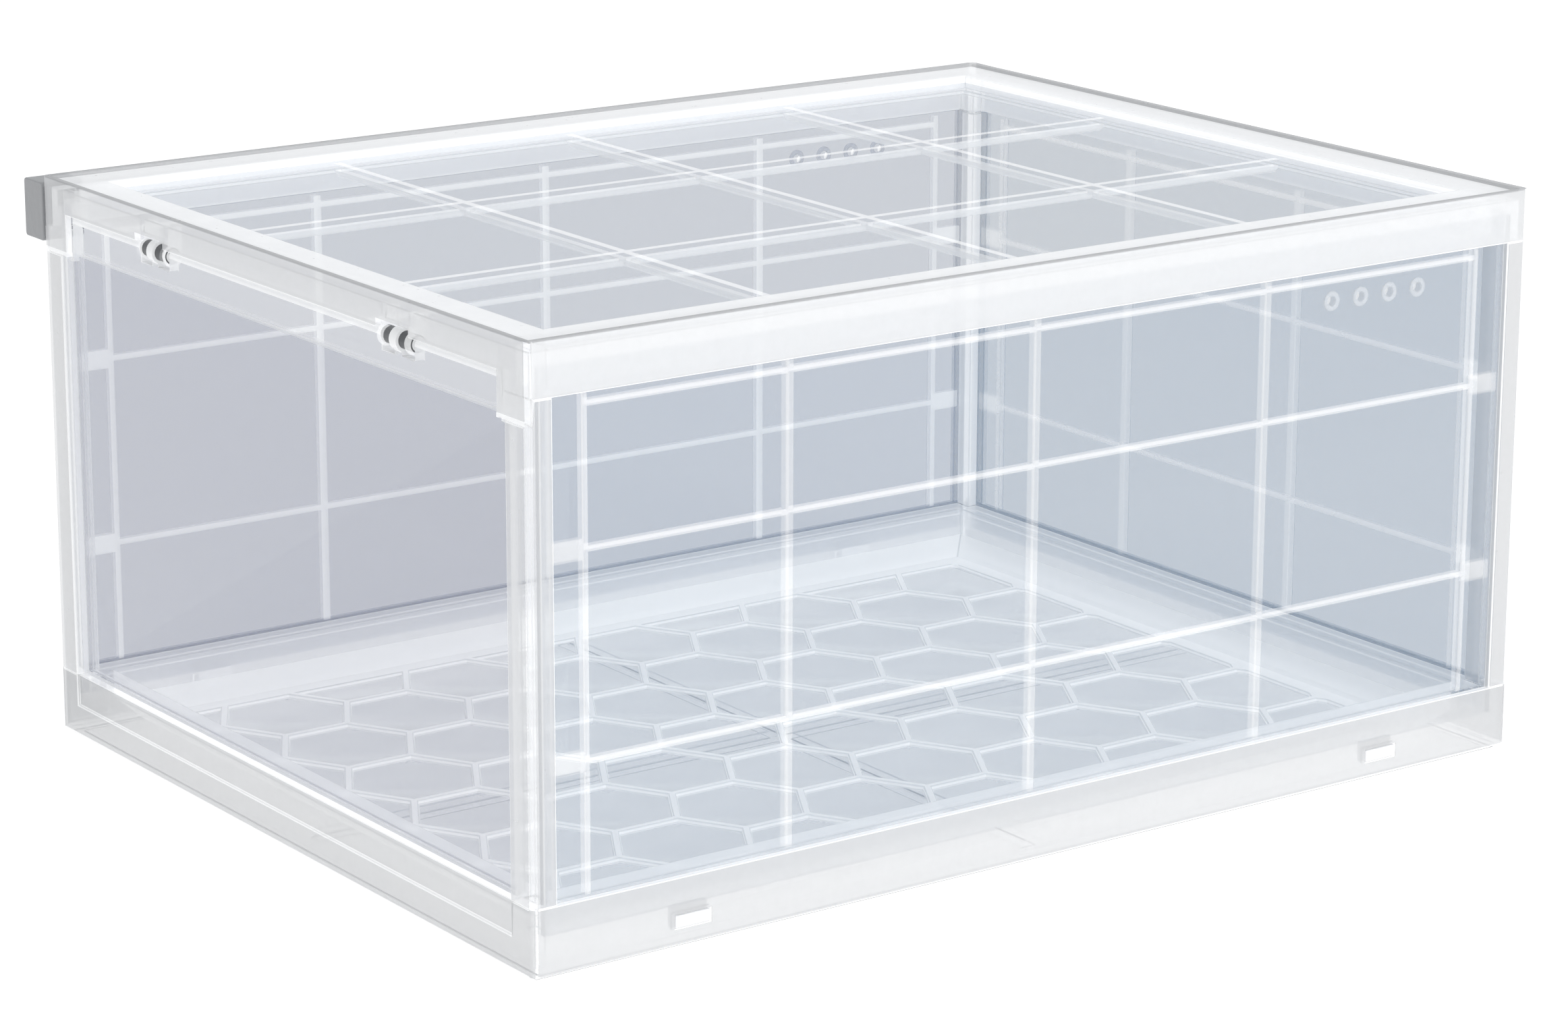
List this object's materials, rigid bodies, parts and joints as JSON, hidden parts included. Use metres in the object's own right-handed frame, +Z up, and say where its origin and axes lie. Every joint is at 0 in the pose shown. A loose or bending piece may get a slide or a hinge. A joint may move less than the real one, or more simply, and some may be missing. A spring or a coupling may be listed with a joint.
{
  "type": "shoe box",
  "caption": "Clear stackable shoe box with a top-hinged front door, ribbed panels between corner posts, a framed lid and a honeycomb-floored tray.",
  "frame": {"origin": "middle of the box's footprint, on the surface that it stands on, under the crossing of the ribs below the floor", "axes": "+Z up, the front door faces -Y, the long side runs along Y, the link clip is on the -X side"},
  "size_m": [0.2895, 0.36, 0.178],
  "materials": {
    "frosted_plastic": "frosted translucent moulded plastic",
    "clear_plastic": "clear polished moulded plastic",
    "hinge_grey": "dark grey moulded plastic",
    "clip_grey": "mid grey moulded plastic"
  },
  "bodies": {
    "box": {"base_tray": "frosted_plastic", "left_side_panel": "clear_plastic", "right_side_panel": "clear_plastic", "back_panel": "clear_plastic", "front_left_post": "frosted_plastic", "front_right_post": "frosted_plastic", "back_left_post": "frosted_plastic", "back_right_post": "frosted_plastic", "lid_frame": "frosted_plastic", "lid_pane": "clear_plastic", "left_hinge_pin": "hinge_grey", "right_hinge_pin": "hinge_grey", "side_link_clip": "clip_grey"},
    "door": {"front_door": "clear_plastic"}
  },
  "joints": [
    {"name": "door_hinge", "type": "hinge", "parent": "box", "child": "door", "pos_m": [0, -0.1764, 0.1656], "axis": [-1, 0, 0], "range_deg": [0, 95]}
  ]
}
